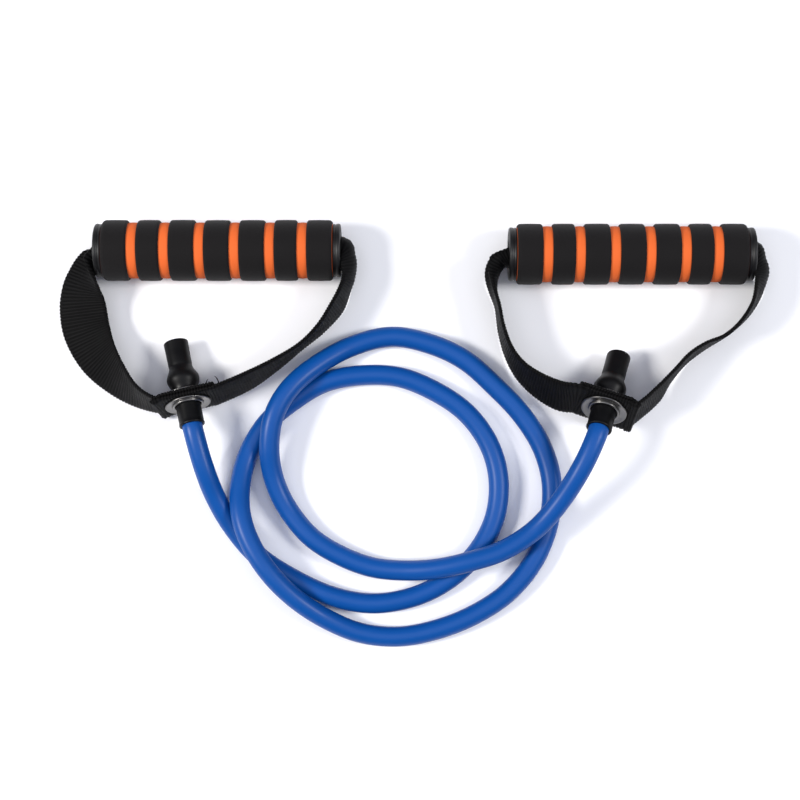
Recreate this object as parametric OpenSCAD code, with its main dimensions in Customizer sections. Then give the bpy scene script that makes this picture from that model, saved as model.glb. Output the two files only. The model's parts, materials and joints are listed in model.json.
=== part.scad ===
// Tube resistance band with two foam grip handles, lying with its latex tube in loose loops.
// Millimetres. Z = 0 is the surface it lies on, X runs along the grips, and the origin is
// under the middle of the two handles. "Left" is the handle at -X.
// Each handle is a grip that spins on a webbing strap. The strap's ends overlap at a grommet,
// and the tube's plugged end passes through that grommet and swivels in it.

/* [Grips] */
// Length of the grip between its end caps
grip_len = 123.2; // [120:0.2:130]
// Diameter over the black foam rings
foam_d = 32.6; // [32:0.2:32.6]
// Diameter of the orange foam sleeve between the rings
sleeve_foam_d = 29.4; // [28:0.2:30]
// Width of each orange groove
groove_w = 5; // [4:0.5:6]
// Number of black foam rings on a grip
ring_count = 7; // [5:1:9]
// How much narrower the second ring from each end is than the others
ring_narrow = 1.5; // [0:0.1:3]
// Rounding on the edges of a foam ring
ring_round = 1.3; // [0.5:0.1:1.5]
// Outer diameter of the rigid pipe inside the foam
core_d = 22; // [20.5:0.5:24]
// Bore of the rigid pipe
core_bore = 18; // [17.5:0.5:19]

/* [End caps] */
// Diameter of the end cap's flange
cap_d = 28.6; // [26:0.2:29]
// Thickness of the flange
cap_t = 4.2; // [3:0.1:4.4]
// Rounding on the flange's outer rim
cap_round = 1.2; // [0.5:0.1:1.4]
// Opening that the strap passes through
cap_bore = 15.5; // [15:0.1:16]
// Length of the spigot that plugs the pipe
spigot_len = 15; // [8:1:20]

/* [Webbing] */
// Width of the webbing
web_w = 28; // [26:1:28]
// Thickness of one layer
web_t = 2.2; // [1.6:0.1:2.4]
// Length of the doubled and sewn patch round the grommet
patch_len = 34; // [30:1:36]

/* [Grommets] */
// Hole that the tube's sleeve turns in
grommet_bore = 14.3; // [14.1:0.1:14.6]
// Diameter of the flange and of the washer
grommet_d = 24.8; // [23:0.2:26]
// Wall of the eyelet's barrel
barrel_t = 0.75; // [0.5:0.05:1]
// Thickness of the flange and of the washer
plate_t = 0.9; // [0.7:0.1:1.2]

/* [Tube] */
// Outer diameter of the latex tube
tube_d = 11; // [10:0.1:11]
// Bore of the latex tube
tube_bore = 6; // [5:0.5:7]

/* [Tube ends] */
// Outer diameter of the rubber sleeve over the tube's end
sleeve_d = 13.5; // [13.2:0.1:13.6]
// How much the plug's ball swells the tube and the sleeve, on the radius
bulge = 2.1; // [1:0.1:2.3]
// Length of the swelling
bulge_len = 14; // [12:1:15]
// Distance from the grommet to the middle of the swelling
ball_at = 11.6; // [11:0.2:13]
// Distance from the grommet to the sleeve's free end
stub_len = 33.5; // [32.5:0.5:36]
// Distance from the grommet to the sleeve's mouth, on the tube's side
skirt_len = 14; // [12:0.5:15]

/* [Hidden] */
$fn = 48;
BLACK = "#211f20";
ORANGE = "#ed723e";
BLUE = "#2b5da5";
STEEL = "#b4b6ba";
PLUG = "#d8d6cf";

foam_r = foam_d / 2;
ring_w = (grip_len - 0.5 - (ring_count - 1) * groove_w + 2 * ring_narrow) / ring_count;
tube_r = tube_d / 2;
bore_r = tube_bore / 2;
// Height of the tube's centreline where it lies on the surface
lay = tube_r + 0.2;

// A side is [name, grip centre, grommet centre, heading of the stub, dip of the stub]
LEFT = ["left", [-105.1, 42.2, foam_r], [-122, -38, 16.5], 103, 15];
RIGHT = ["right", [116.6, 40.2, foam_r], [102, -42, 23.3], 72, 28];
SIDES = [LEFT, RIGHT];

// Strap stations are [x, y, z, roll, width, thickness]. Roll 0 is flat, and -90 stands on
// edge with the outer edge down. The webbing is folded narrow and thick inside the pipe.
FOLD = [-90, 13, 4.4];
LEFT_ARM_IN = [
    [-149, -36, 15, -70, web_w, web_t],
    [-161, -26, 12.5, -50, web_w, web_t],
    [-171, -14, 10.5, -30, web_w, web_t],
    [-177, -1, 9.5, -16, web_w, web_t],
    [-178.5, 12, 10, -16, web_w, web_t],
    [-178.5, 23, 12, -30, 24, web_t],
    [-178.5, 31, 14, -54, 19.5, 2.8],
    [-176, 37.5, 15.6, -74, 14.5, 3.4],
    [-172.6, 41, 16.2, -88, 13, 4]
];
LEFT_ARM_OUT = [
    [-36.5, 41.2, 16.3, -90, 15, 3.4],
    [-33.5, 34.5, 16, -88, 22, web_t],
    [-35, 25, 15, -84, 27, web_t],
    [-41, 13, 15, -80, web_w, web_t],
    [-50, 1, 15, -86, web_w, web_t],
    [-61, -9, 15, -90, web_w, web_t],
    [-75, -19, 15, -84, web_w, web_t],
    [-90, -28, 15.5, -77, web_w, web_t]
];
RIGHT_ARM_IN = [
    [77, -36, 21.5, -64, web_w, web_t],
    [66, -30, 19, -70, web_w, web_t],
    [57, -22, 17, -78, web_w, web_t],
    [51, -12, 15.5, -82, web_w, web_t],
    [47, 0, 15, -82, web_w, web_t],
    [44, 12, 15, -82, web_w, web_t],
    [42.5, 23, 15.5, -84, 27, web_t],
    [43.5, 32.5, 15.8, -88, 21, web_t],
    [47.5, 39, 16.2, -90, 14, 3.6]
];
RIGHT_ARM_OUT = [
    [185.2, 39, 16.3, -88, 14, 3.6],
    [187.5, 32.5, 16, -78, 21, web_t],
    [186.5, 22.5, 15.5, -74, 27, web_t],
    [182, 12, 15, -80, web_w, web_t],
    [175, 3, 15, -86, web_w, web_t],
    [166, -4, 15, -90, web_w, web_t],
    [156, -9, 15, -90, web_w, web_t],
    [147, -16, 15.5, -86, web_w, web_t],
    [139, -25, 17, -80, web_w, web_t],
    [131.5, -34.5, 19.5, -72, web_w, web_t]
];

// The tube's free route from the left sleeve to the right one. Long low humps carry it over
// the runs that it crosses.
ROUTE = [
    [-113, -74, 18], [-107, -91, 11], [-98, -107, 6], [-85, -122, lay], [-67, -134, lay],
    [-45, -144, lay], [-22, -148, lay], [1, -144, lay], [20, -134, lay], [35, -119, lay],
    [44, -101, lay], [46, -81, lay], [41, -62, lay], [29, -45, lay], [12, -33, lay],
    [-8, -25, lay], [-29, -24, lay], [-49, -28, lay], [-66, -38, lay], [-80, -50, lay],
    [-90, -67, 6.5], [-94, -84, 10.5], [-93, -101, 15.5], [-87, -117, 17.5],
    [-77, -132, 17.5], [-64, -145, 14.5], [-48, -156, 9], [-29, -164, 6], [-8, -166, lay],
    [13, -162, lay], [33, -154, lay], [51, -142, lay], [65, -125, lay], [73, -105, lay],
    [75, -84, lay], [70, -64, lay], [59, -46, lay], [45, -31, lay], [28, -16, lay], [9, -7, lay],
    [-12, -3, lay], [-33, -8, 7], [-51, -18, 11.5], [-66, -31, 16.5], [-75, -46, 17.5],
    [-78, -63, 14.5], [-76, -80, 9], [-69, -96, 6], [-57, -111, lay], [-42, -121, 6],
    [-24, -128, 7], [-6, -130, 10], [12, -129, 14.5], [30, -125, 17.5], [48, -119, 16.5],
    [65, -108, 17.5], [78, -93, 22.5], [89, -75, 30]
];
free_rings = 58;
tube_sides = 12;
ribbon_steps = 3;
// Places along a tube end, from the grommet, where the swept tube has a ring
END_STATIONS = [-17, -4, 4.6, 7, 9.3, 11.6, 13.9, 16.2, 18.6, 25, 32];

// ---- Curves and sweeps ----

// Catmull-Rom point at u along the rows, on every column of a row
function spline(rows, u) =
    let (
        n = len(rows) - 1,
        i = max(0, min(floor(u), n - 1)),
        f = u - i,
        a = rows[max(i - 1, 0)],
        b = rows[i],
        c = rows[i + 1],
        d = rows[min(i + 2, n)]
    )
    b + 0.5 * f * ((c - a) + f * ((2 * a - 5 * b + 4 * c - d) + f * (3 * (b - c) + d - a)));

function unit(v) = v / norm(v);
function xyz(row) = [row[0], row[1], row[2]];

// Sideways and upward directions of a path that is never vertical
function side_of(t) = unit(cross([0, 0, 1], t));
function up_of(t) = cross(t, side_of(t));

// Side triangles between consecutive rings of k points. Opposite sides of a twisted ribbon are
// split along the same diagonal, so it keeps its thickness
function skin(rings, k, closed) =
    [for (i = [0:rings - (closed ? 1 : 2)], j = [0:k - 1])
        let (
            m = ((i + 1) % rings) * k,
            q = (j + 1) % k,
            quad = [i * k + j, m + j, m + q, i * k + q],
            turn = j < k / 2 ? 0 : 1
        )
        each [for (e = [0, 2]) [for (c = [0:2]) quad[(e + c + turn) % 4]]]];

// ---- Frames ----

function core_end(s, dir) = s[1] + [dir * grip_len / 2, 0, 0];
function stub_dir(s) = [cos(s[3]) * cos(s[4]), sin(s[3]) * cos(s[4]), -sin(s[4])];
function patch_dir(s) = [sin(s[3]), -cos(s[3]), 0];
function on_stub(s, d) = s[2] + d * stub_dir(s);

// Local +Z runs from the grommet to the stub's free end, and local -X is up
module at_grommet(s) {
    translate(s[2]) rotate([0, 90 + s[4], s[3]]) children();
}

// Local +Z runs along the grip, away from its middle, from the core's end
module at_core_end(s, dir) {
    translate(core_end(s, dir)) rotate([0, 90 * dir, 0]) children();
}

// Quarter-circle points about [x, y], from angle a0 to a1
function arc(x, y, r, a0, a1) =
    [for (i = [0:4]) let (a = a0 + (a1 - a0) * i / 4) [x + r * cos(a), y + r * sin(a)]];

// ---- Grip parts ----

module core(s) {
    color("dimgray") at_core_end(s, -1) mirror([0, 0, 1]) difference() {
        cylinder(r = core_d / 2, h = grip_len);
        translate([0, 0, -1]) cylinder(r = core_bore / 2, h = grip_len + 2);
    }
}

module foam_sleeve(s) {
    color(ORANGE) at_core_end(s, -1) mirror([0, 0, 1]) difference() {
        cylinder(r = sleeve_foam_d / 2, h = grip_len);
        translate([0, 0, -1]) cylinder(r = core_d / 2, h = grip_len + 2);
    }
}

// Width of ring i, and how far it starts from ring 1. Ring 1 is at the grip's -X end
function ring_width(i) = ring_w - (i == 2 || i == ring_count - 1 ? ring_narrow : 0);
function ring_start(i) = i == 1 ? 0 : ring_start(i - 1) + ring_width(i - 1) + groove_w;

module foam_ring(s, i) {
    r0 = sleeve_foam_d / 2;
    c = ring_round;
    w = ring_width(i);
    start = 0.25 + ring_start(i);
    color(BLACK) at_core_end(s, -1) mirror([0, 0, 1]) translate([0, 0, start])
        rotate_extrude()
            polygon(concat(
                [[r0, 0]],
                arc(foam_r - c, c, c, -90, 0),
                arc(foam_r - c, w - c, c, 0, 90),
                [[r0, w]]
            ));
}

module end_cap(s, dir) {
    r = cap_d / 2;
    b = cap_bore / 2;
    c = cap_round;
    color(BLACK) at_core_end(s, dir) rotate_extrude()
        polygon(concat(
            [[b, -spigot_len], [core_bore / 2, -spigot_len], [core_bore / 2, 0], [r, 0]],
            arc(r - c, cap_t - c, c, 0, 90),
            arc(b + c, cap_t - c, c, 90, 180)
        ));
}

// ---- Strap ----

// Corners of the webbing's section at one station
function ribbon_ring(row, t) =
    let (
        w = side_of(t) * cos(row[3]) + up_of(t) * sin(row[3]),
        n = cross(t, w),
        a = w * row[4] / 2,
        b = n * row[5] / 2,
        p = xyz(row)
    )
    [p + a + b, p - a + b, p - a - b, p + a - b];

function arm_rings(rows) =
    let (last = len(rows) - 1, n = last * ribbon_steps)
    [for (k = [0:n])
        let (
            u = k * last / n,
            t = unit(xyz(spline(rows, min(u + 0.02, last))) - xyz(spline(rows, max(u - 0.02, 0))))
        )
        each ribbon_ring(spline(rows, u), t)];

// Station inside the sewn patch, on the side that dir gives
function patch_row(s, dir) =
    concat(s[2] + dir * (patch_len / 2 - 2) * patch_dir(s), [s[4] - 90, web_w, web_t]);

// Station in the mouth of the pipe's bore
function fold_row(s, dir) = concat(s[1] + dir * [grip_len / 2 - 4, 0, 0], FOLD);

function strap_rings(s, arm_in, arm_out) = concat(
    arm_rings(concat([patch_row(s, -1)], arm_in, [fold_row(s, -1)])),
    arm_rings(concat([fold_row(s, 1)], arm_out, [patch_row(s, 1)]))
);

module strap(s, arm_in, arm_out) {
    points = strap_rings(s, arm_in, arm_out);
    rings = len(points) / 4;
    last = (rings - 1) * 4;
    color(BLACK) difference() {
        union() {
            polyhedron(
                points,
                concat(skin(rings, 4, false), [[0, 1, 2, 3], [3, 2, 1, 0] + [last, last, last, last]])
            );
            at_grommet(s) cube([web_w + 0.4, patch_len, 2 * web_t], center = true);
        }
        at_grommet(s) cylinder(r = grommet_bore / 2 + barrel_t, h = 6 * web_t, center = true);
    }
}

// ---- Grommet ----

// Barrel, flange on the stub's side and a lip rolled over the washer on the tube's side
module eyelet(s) {
    b = grommet_bore / 2;
    o = b + barrel_t;
    r = grommet_d / 2;
    back = web_t + plate_t;
    front = -web_t - plate_t;
    lip = barrel_t;
    color(STEEL) at_grommet(s) rotate_extrude()
        polygon(concat(
            arc(o, front - lip / 2, lip / 2, 90, -90),
            arc(o, front, lip, -90, -180),
            [[b, back - plate_t / 2]],
            arc(b + plate_t / 2, back - plate_t / 2, plate_t / 2, 180, 90),
            arc(r - plate_t / 2, back - plate_t / 2, plate_t / 2, 90, 0),
            [[r - plate_t / 2, web_t], [o, web_t], [o, front]]
        ));
}

module washer(s) {
    o = grommet_bore / 2 + barrel_t;
    r = grommet_d / 2;
    color(STEEL) at_grommet(s) rotate_extrude()
        polygon(concat(
            [[o, -web_t - plate_t], [o, -web_t], [r, -web_t]],
            arc(r - plate_t / 2, -web_t - plate_t / 2, plate_t / 2, 0, -90)
        ));
}

// ---- Tube ends ----

// How far the ball swells the wall at distance d from the grommet
function swell(d) =
    let (x = (d - ball_at) / bulge_len)
    abs(x) < 0.5 ? bulge * pow(cos(180 * x), 2) : 0;

// Ball on a short stem, pressed into the tube's bore
module ball_plug(s) {
    stem = [for (d = END_STATIONS) if (d > 4 && d < 24) d];
    color(PLUG) at_grommet(s) rotate_extrude()
        polygon(concat(
            [[0, stem[0] - 2], [bore_r - 1, stem[0] - 2], [bore_r, stem[0] - 1]],
            [for (d = stem) [bore_r + swell(d), d]],
            [[bore_r, 22], [bore_r - 1, 23], [0, 23]]
        ));
}

// Rubber sleeve over the tube's end, from its mouth to the open rim of the stub
module tube_sleeve(s) {
    o = sleeve_d / 2;
    stub_r = o - 0.3;
    inner = [for (d = END_STATIONS) if (d > -skirt_len && d < stub_len) d];
    color(BLACK) at_grommet(s) rotate_extrude()
        polygon(concat(
            [[tube_r, -skirt_len]],
            [for (d = inner) [tube_r + swell(d), d]],
            [[tube_r, stub_len], [stub_r + 0.1, stub_len]],
            arc(stub_r - 0.3, stub_len - 0.8, 0.6, 60, 0),
            [for (i = [len(inner) - 2:-1:1])
                [(inner[i] > ball_at ? stub_r : o) + 0.85 * swell(inner[i]), inner[i]]],
            [[o, -4], [o, 1.5 - skirt_len], [o + 0.2, 0.6 - skirt_len], [o, -skirt_len]]
        ));
}

// ---- Latex tube ----

function tube_path() = concat(
    [on_stub(LEFT, 0), on_stub(LEFT, END_STATIONS[0])],
    ROUTE,
    [on_stub(RIGHT, END_STATIONS[0]), on_stub(RIGHT, 0)]
);

// A ring is [centre, direction of travel, swelling]
function end_rings(s, dir) =
    [for (i = [0:len(END_STATIONS) - 1])
        let (d = END_STATIONS[dir > 0 ? i : len(END_STATIONS) - 1 - i])
        [on_stub(s, d), dir * stub_dir(s), swell(d)]];

function free_ring_list() =
    let (path = tube_path(), span = len(path) - 3)
    [for (k = [1:free_rings])
        let (
            u = 1 + k * span / (free_rings + 1),
            t = unit(spline(path, u + 0.02) - spline(path, u - 0.02))
        )
        [spline(path, u), t, 0]];

function circle_ring(ring, r) =
    [for (j = [0:tube_sides - 1])
        let (a = 360 * j / tube_sides)
        ring[0] + r * (side_of(ring[1]) * cos(a) + up_of(ring[1]) * sin(a))];

module latex_tube() {
    rings = concat(end_rings(LEFT, -1), free_ring_list(), end_rings(RIGHT, 1));
    n = len(rings);
    outer = [for (i = [0:n - 1]) each circle_ring(rings[i], tube_r + rings[i][2])];
    inner = [for (i = [n - 1:-1:0]) each circle_ring(rings[i], bore_r + rings[i][2])];
    color(BLUE) polyhedron(concat(outer, inner), skin(2 * n, tube_sides, true));
}

// ---- Nodes ----

latex_tube();
for (s = SIDES) core(s);
for (s = SIDES) foam_sleeve(s);
for (s = SIDES, i = [1:ring_count])
    foam_ring(s, i);
end_cap(LEFT, -1);  // left_outer_cap
end_cap(LEFT, 1);  // left_inner_cap
end_cap(RIGHT, -1);  // right_inner_cap
end_cap(RIGHT, 1);  // right_outer_cap
strap(LEFT, LEFT_ARM_IN, LEFT_ARM_OUT);  // left_strap
strap(RIGHT, RIGHT_ARM_IN, RIGHT_ARM_OUT);  // right_strap
for (s = SIDES) eyelet(s);
for (s = SIDES) washer(s);
for (s = SIDES) ball_plug(s);
for (s = SIDES) tube_sleeve(s);
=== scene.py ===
"""Looks for a tube resistance band with two foam grip handles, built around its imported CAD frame.

Everything is in metres, in the frame's own axes: +X along the grips, +Z up from the surface.
"""

import json
import math

import bpy
import numpy as np
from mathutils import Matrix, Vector


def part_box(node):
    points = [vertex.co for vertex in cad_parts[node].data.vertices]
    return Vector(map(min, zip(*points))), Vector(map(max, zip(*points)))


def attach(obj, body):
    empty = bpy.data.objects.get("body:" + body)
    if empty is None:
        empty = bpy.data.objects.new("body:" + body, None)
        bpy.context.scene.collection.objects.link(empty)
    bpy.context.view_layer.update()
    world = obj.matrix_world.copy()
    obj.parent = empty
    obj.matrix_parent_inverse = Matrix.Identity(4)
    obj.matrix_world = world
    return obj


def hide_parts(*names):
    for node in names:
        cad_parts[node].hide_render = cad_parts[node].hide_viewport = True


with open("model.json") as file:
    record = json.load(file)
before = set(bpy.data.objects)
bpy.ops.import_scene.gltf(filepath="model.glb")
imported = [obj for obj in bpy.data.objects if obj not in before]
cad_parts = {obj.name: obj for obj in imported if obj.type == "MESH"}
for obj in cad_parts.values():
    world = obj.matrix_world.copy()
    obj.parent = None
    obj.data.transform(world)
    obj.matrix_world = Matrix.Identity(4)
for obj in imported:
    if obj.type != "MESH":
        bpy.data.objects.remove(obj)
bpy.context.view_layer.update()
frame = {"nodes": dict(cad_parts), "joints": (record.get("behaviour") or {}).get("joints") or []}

bl_info = {
    "name": "Tube Resistance Band",
    "version": (1, 0, 0),
    "blender": (4, 5, 0),
    "location": "3D View > Sidebar > Band",
    "description": "Builds the latex tube, foam grips, webbing straps and grommets of a resistance band",
    "category": "Object",
}

MM = 0.001
SIDES = ("left", "right")
UP = np.array([0.0, 0.0, 1.0])
ALONG_GRIP = np.array([1.0, 0.0, 0.0])

# Webbing stations in millimetres: x, y, z, roll in degrees, width of the gathered section.
# They follow the straps' CAD solids. Roll 0 lies flat and -90 stands on edge.
ARM_IN = {
    "left": [
        [-149, -36, 15, -70, 28], [-161, -26, 12.5, -50, 28], [-171, -14, 10.5, -30, 28],
        [-177, -1, 9.5, -16, 28], [-179, 10, 10, -15, 28], [-179.2, 20, 11.3, -25, 28],
        [-177, 28.5, 13, -42, 27], [-174.2, 35.5, 14.8, -62, 21.5], [-171.5, 40, 16, -82, 14.5],
    ],
    "right": [
        [77, -36, 21.5, -64, 28], [66, -30, 19, -70, 28], [57, -22, 17, -78, 28],
        [51, -12, 15.5, -84, 28], [47.2, 0, 15, -87, 28], [45.2, 12, 15, -89, 28],
        [43, 22, 15.5, -88, 27.5], [43.2, 30.5, 15.8, -87, 23], [47, 37.5, 16, -90, 15],
    ],
}
ARM_OUT = {
    "left": [
        [-37.1, 41.2, 16.3, -90, 15], [-34.2, 34.5, 16, -88, 22], [-35, 25, 15, -84, 27],
        [-41, 13, 15, -80, 28], [-50, 1, 15, -86, 28], [-61, -9, 15, -90, 28],
        [-75, -19, 15, -84, 28], [-90, -28, 15.5, -77, 28],
    ],
    "right": [
        [183, 38.8, 16, -88, 14], [187.6, 31.5, 15.8, -79, 21.5], [186.5, 22, 15.5, -74, 27.5],
        [182, 12, 15, -80, 28], [175, 3, 15, -86, 28], [166.5, -4, 15, -90, 28],
        [156, -9.5, 15, -85, 28], [147, -16, 15.5, -83, 28], [139, -25, 17, -82, 28],
        [131, -35, 19.5, -76, 28],
    ],
}

# The free tube's route in millimetres, as in the CAD. LAY is its height on the surface.
LAY = 5.7
ROUTE = [
    [-113, -74, 18], [-107, -91, 11], [-98, -107, 6], [-85, -122, LAY], [-67, -134, LAY],
    [-45, -144, LAY], [-22, -148, LAY], [1, -144, LAY], [20, -134, LAY], [35, -119, LAY],
    [44, -101, LAY], [46, -81, LAY], [41, -62, LAY], [29, -45, LAY], [12, -33, LAY],
    [-8, -25, LAY], [-29, -24, LAY], [-49, -28, LAY], [-66, -38, LAY], [-80, -50, LAY],
    [-90, -67, 6.5], [-94, -84, 10.5], [-93, -101, 15.5], [-87, -117, 17.5],
    [-77, -132, 17.5], [-64, -145, 14.5], [-48, -156, 9], [-29, -164, 6], [-8, -166, LAY],
    [13, -162, LAY], [33, -154, LAY], [51, -142, LAY], [65, -125, LAY], [73, -105, LAY],
    [75, -84, LAY], [70, -64, LAY], [59, -46, LAY], [45, -31, LAY], [28, -16, LAY], [9, -7, LAY],
    [-12, -3, LAY], [-33, -8, 7], [-51, -18, 11.5], [-66, -31, 16.5], [-75, -46, 17.5],
    [-78, -63, 14.5], [-76, -80, 9], [-69, -96, 6], [-57, -111, LAY], [-42, -121, 6],
    [-24, -128, 7], [-6, -130, 10], [12, -129, 14.5], [30, -125, 17.5], [48, -119, 16.5],
    [65, -108, 17.5], [78, -93, 22.5], [89, -75, 30],
]
STRAIGHT = 17 * MM  # the tube is straight this far from the grommet
TUBE_TIP = 32 * MM  # and ends this far past it, inside the sleeve
SWELL_AT = 11.6 * MM  # a plug's ball has its middle this far past it
SWELL_LENGTH = 14 * MM  # and swells the tube over this length
HOLE_RADIUS = 7.85 * MM  # hole through the webbing for the grommet's barrel

# Loose yarns by the left grommet, in millimetres: place along the strap, lean along it and reach
# away from it. They start near the strap's upper edge.
LOOSE_YARNS = ((13, 1.5, 3.6), (15.5, -1.0, 2.2), (20, -1.8, 4.5))
YARN_EDGE = 13.2
YARN_RADIUS = 0.32 * MM

# Area lights: place, target, size in metres, colour.
LIGHTS = {
    "Key": ((-1.3, -0.12, 1.25), (0, -0.03, 0), 0.45, (1, 0.98, 0.95)),
    "Fill": ((1.3, -0.05, 1.35), (0, -0.03, 0), 0.5, (1, 1, 1)),
    "Top": ((0, -0.05, 2.2), (0, -0.05, 0), 2.2, (0.88, 0.91, 1)),
}


# ---- Frame facts ----

def swivel(side):
    """The grommet's centre and the stub's direction, from the swivel joint."""
    joint = next(j for j in frame["joints"] if j["name"] == f"{side}_swivel")
    axis = np.array(joint["axis"], float)
    return np.array(joint["pos_m"], float), axis / np.linalg.norm(axis)


def patch_axes(stub):
    """Two directions in the patch round a grommet: along the strap, and up across it."""
    right = unit(np.cross(stub, UP))
    top = np.cross(right, stub)
    return right, top if top[2] > 0 else -top


def grip_line(side):
    """The grip's centre and half its length, from the CAD pipe's box."""
    low, high = (np.array(v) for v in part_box(f"{side}_core"))
    return (low + high) / 2, (high[0] - low[0]) / 2


# ---- Surfaces ----

def unit(v):
    """Vectors divided by their lengths."""
    return v / np.linalg.norm(v, axis=-1, keepdims=True)


def smoothstep(x):
    """x x (3 - 2 x), with x held between 0 and 1."""
    x = np.clip(x, 0, 1)
    return x * x * (3 - 2 * x)


def catmull(rows, u):
    """Catmull-Rom rows at u: b + f/2 (c - a + f (2a - 5b + 4c - d + f (3b - 3c + d - a)))."""
    rows, last = np.asarray(rows, float), len(rows) - 1
    i = np.clip(np.floor(u).astype(int), 0, last - 1)
    f = (u - i)[:, None]
    a, b = rows[np.maximum(i - 1, 0)], rows[i]
    c, d = rows[i + 1], rows[np.minimum(i + 2, last)]
    return b + 0.5 * f * ((c - a) + f * ((2 * a - 5 * b + 4 * c - d) + f * (3 * (b - c) + d - a)))


def evenly(path, step):
    """Indices, as fractions, of points spaced evenly along a path, and their distances."""
    along = np.r_[0, np.cumsum(np.linalg.norm(np.diff(path, axis=0), axis=1))]
    at = np.linspace(0, along[-1], max(2, int(round(along[-1] / step)) + 1))
    return np.interp(at, along, np.arange(len(path))), at


def pick(values, index):
    """Rows of values at fractional indices, by straight interpolation."""
    i = np.clip(np.floor(index).astype(int), 0, len(values) - 2)
    f = (index - i).reshape((-1,) + (1,) * (values.ndim - 1))
    return values[i] * (1 - f) + values[i + 1] * f


def grid_object(name, points, uv=None, loop=False):
    """A closed skin over points[ring, around]. Rings run along the first index and wrap round
    the second; loop joins the last ring to the first, and otherwise both ends get a pole."""
    rings, k = points.shape[:2]
    steps = rings if loop else rings - 1
    i = np.arange(steps)[:, None] * k
    j = np.arange(k)[None, :]
    m, q = (i + k) % (rings * k), (j + 1) % k
    quads = np.stack([i + j, i + q, m + q, m + j], -1).reshape(-1, 4)
    verts, faces = points.reshape(-1, 3), quads.tolist()
    if not loop:
        low, high, base = len(verts), len(verts) + 1, (rings - 1) * k
        verts = np.vstack([verts, points[0].mean(0), points[-1].mean(0)])
        around = list(range(k))
        faces += [[low, (a + 1) % k, a] for a in around]
        faces += [[high, base + a, base + (a + 1) % k] for a in around]
    mesh = bpy.data.meshes.new(name)
    mesh.from_pydata(verts.tolist(), [], faces)
    layer = mesh.uv_layers.new(name="UVMap")
    if uv is not None:
        wide = np.concatenate([uv, uv[:, :1]], 1)
        wide = np.concatenate([wide, wide[:1]], 0)
        ii, jj = np.divmod(np.arange(steps * k), k)
        flat = np.stack([wide[ii, jj], wide[ii, jj + 1], wide[ii + 1, jj + 1], wide[ii + 1, jj]], 1)
        full = np.zeros((len(mesh.loops), 2), np.float32)
        full[: flat.shape[0] * 4] = flat.reshape(-1, 2)
        layer.data.foreach_set("uv", full.ravel())
    mesh.shade_smooth()
    obj = bpy.data.objects.new(name, mesh)
    bpy.context.scene.collection.objects.link(obj)
    return obj


def across(axis):
    """Two unit vectors a and b square to the axis, with a x b along it."""
    side = unit(np.cross(UP, axis))
    return side, np.cross(axis, side)


def full_turn(count):
    """Even angles round a full turn, shaped to multiply a grid of points[ring, around]."""
    return np.linspace(0, 2 * math.pi, count, endpoint=False)[None, :, None]


def rings_along(centres, radii, forward, upright, around):
    """Rings square to a path: p(s, t) = centre(s) + r(s) (side cos t + up sin t), where side is
    square to upright and the path, and up to the path and side."""
    side = unit(np.cross(upright, forward))[:, None]
    up = np.cross(forward, side[:, 0])[:, None]
    t = full_turn(around)
    return centres[:, None] + radii[:, None, None] * (side * np.cos(t) + up * np.sin(t))


def revolve(name, centre, axis, profile, around=96, wobble=None, loop=True):
    """A profile of (distance along the axis, radius) turned round the axis:
    p(i, j) = centre + d_i axis + r_i (a cos t_j + b sin t_j). The profile runs with the solid
    on its left when the axis points right, so that faces point outwards."""
    d, r = (np.array(c, float)[:, None, None] for c in zip(*profile))
    t = full_turn(around)
    a, b = across(axis)
    if wobble is not None:
        r = r + wobble(d, t) * r
    points = centre + d * axis + r * (a * np.cos(t) + b * np.sin(t))
    return grid_object(name, points, loop=loop)


def bend(x, y, rx, ry, start, end, n=6):
    """Points of an elliptical corner about (x, y), in degrees from start to end."""
    a = np.radians(np.linspace(start, end, n))
    return list(zip(x + rx * np.cos(a), y + ry * np.sin(a)))


def place(obj, body, slot, material, *nodes):
    """Gives a piece its material and body, and hides the CAD nodes it stands for. The slot is not used.
    """
    obj.data.materials.clear()
    obj.data.materials.append(material)
    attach(obj, body)
    if nodes:
        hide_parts(*nodes)
    return obj


def dress(node, material):
    """Gives a CAD node that stays its own material."""
    obj = frame["nodes"][node]
    obj.data.materials.clear()
    obj.data.materials.append(material)


# ---- Materials ----

def socket_group(name, inputs, outputs):
    """An empty shader group with a Vector input, float inputs (name, default) and float
    outputs."""
    group = bpy.data.node_groups.new(name, "ShaderNodeTree")
    face = group.interface
    vector = face.new_socket("Vector", in_out="INPUT", socket_type="NodeSocketVector")
    vector.hide_value = True
    for label, default in inputs:
        made = face.new_socket(label, in_out="INPUT", socket_type="NodeSocketFloat")
        made.default_value = default
    for label in outputs:
        face.new_socket(label, in_out="OUTPUT", socket_type="NodeSocketFloat")
    nodes = group.nodes
    return group, nodes.new("NodeGroupInput"), nodes.new("NodeGroupOutput")


def math_node(tree, operation, *values):
    """A Math node whose inputs are sockets or numbers."""
    node = tree.nodes.new("ShaderNodeMath")
    node.operation = operation
    for k, value in enumerate(values):
        if isinstance(value, (int, float)):
            node.inputs[k].default_value = value
        else:
            tree.links.new(value, node.inputs[k])
    return node.outputs[0]


def noise(tree, vector, scale, detail=3.0, rough=0.5):
    """A Noise texture's value, whose scale is a socket or a number."""
    node = tree.nodes.new("ShaderNodeTexNoise")
    node.inputs["Detail"].default_value = detail
    node.inputs["Roughness"].default_value = rough
    tree.links.new(vector, node.inputs["Vector"])
    if isinstance(scale, (int, float)):
        node.inputs["Scale"].default_value = scale
    else:
        tree.links.new(scale, node.inputs["Scale"])
    return node.outputs["Fac"]


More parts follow.
